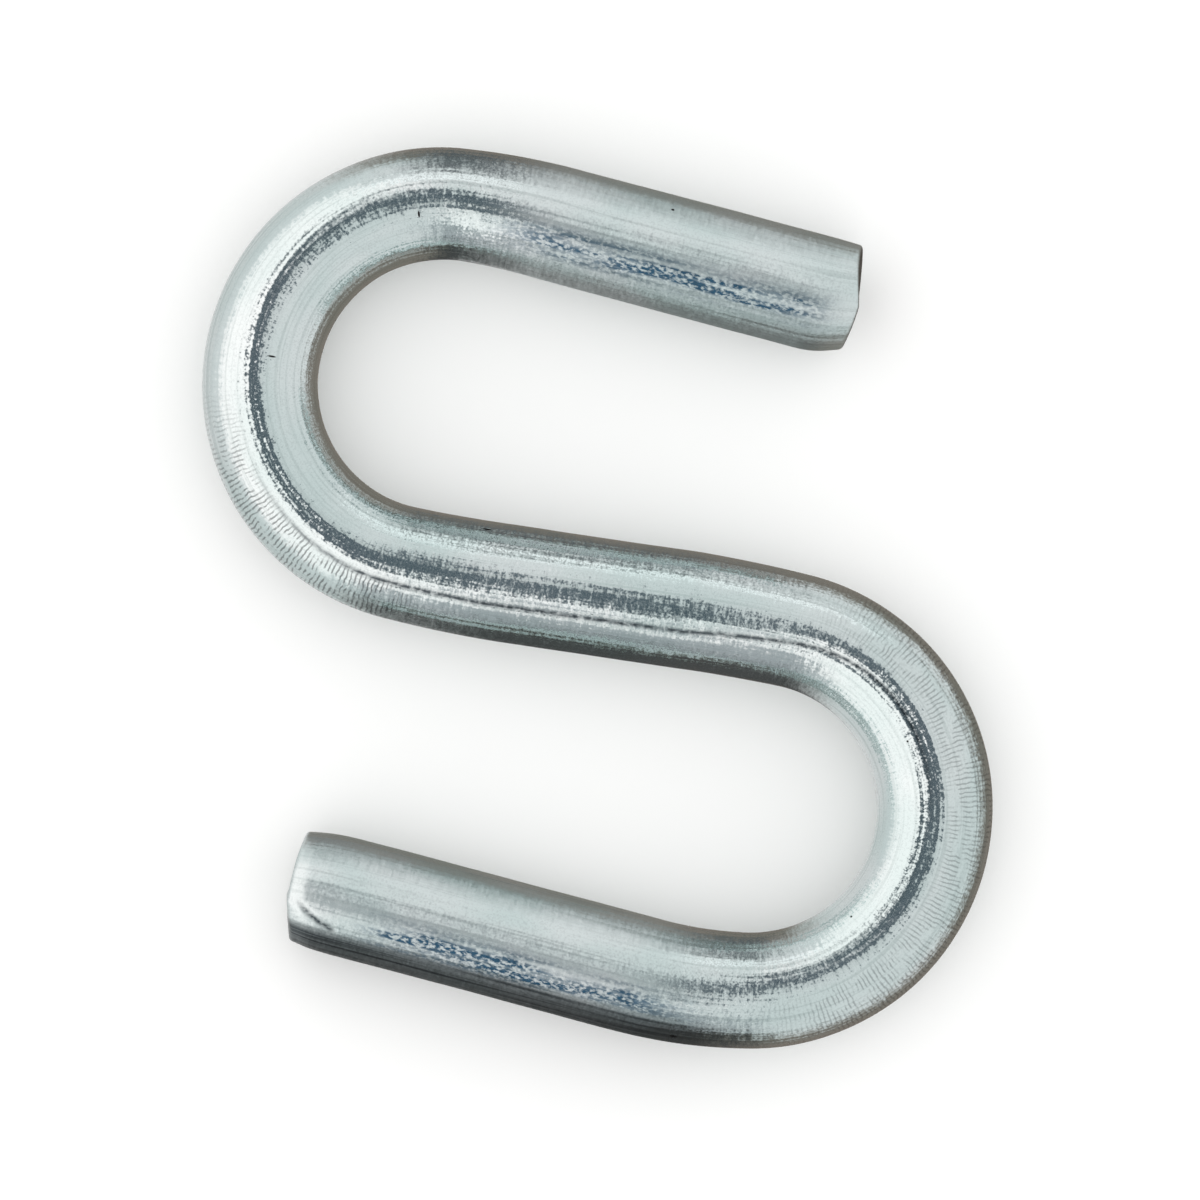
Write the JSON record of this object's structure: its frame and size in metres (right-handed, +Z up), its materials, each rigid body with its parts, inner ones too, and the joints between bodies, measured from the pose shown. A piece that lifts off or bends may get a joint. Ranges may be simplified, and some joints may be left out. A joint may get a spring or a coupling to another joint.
{
  "type": "s hook",
  "caption": "Open S hook bent from round zinc-plated steel wire, which links a ring, eye or chain hung in one bend to a load hung in the other.",
  "frame": {"origin": "under the middle of the S, at the lowest point of the wire as the hook lies flat", "axes": "+Z up, square to the plane of the S; +X along the straight middle leg; +Y towards the bend at -X, +Y"},
  "size_m": [0.0484, 0.0488, 0.0067],
  "materials": {
    "zinc_plated_steel": "bright zinc electroplate over drawn low-carbon steel wire, with fine die lines along it and light forming marks"
  },
  "bodies": {
    "root": {"s_hook": "zinc_plated_steel"}
  },
  "joints": []
}
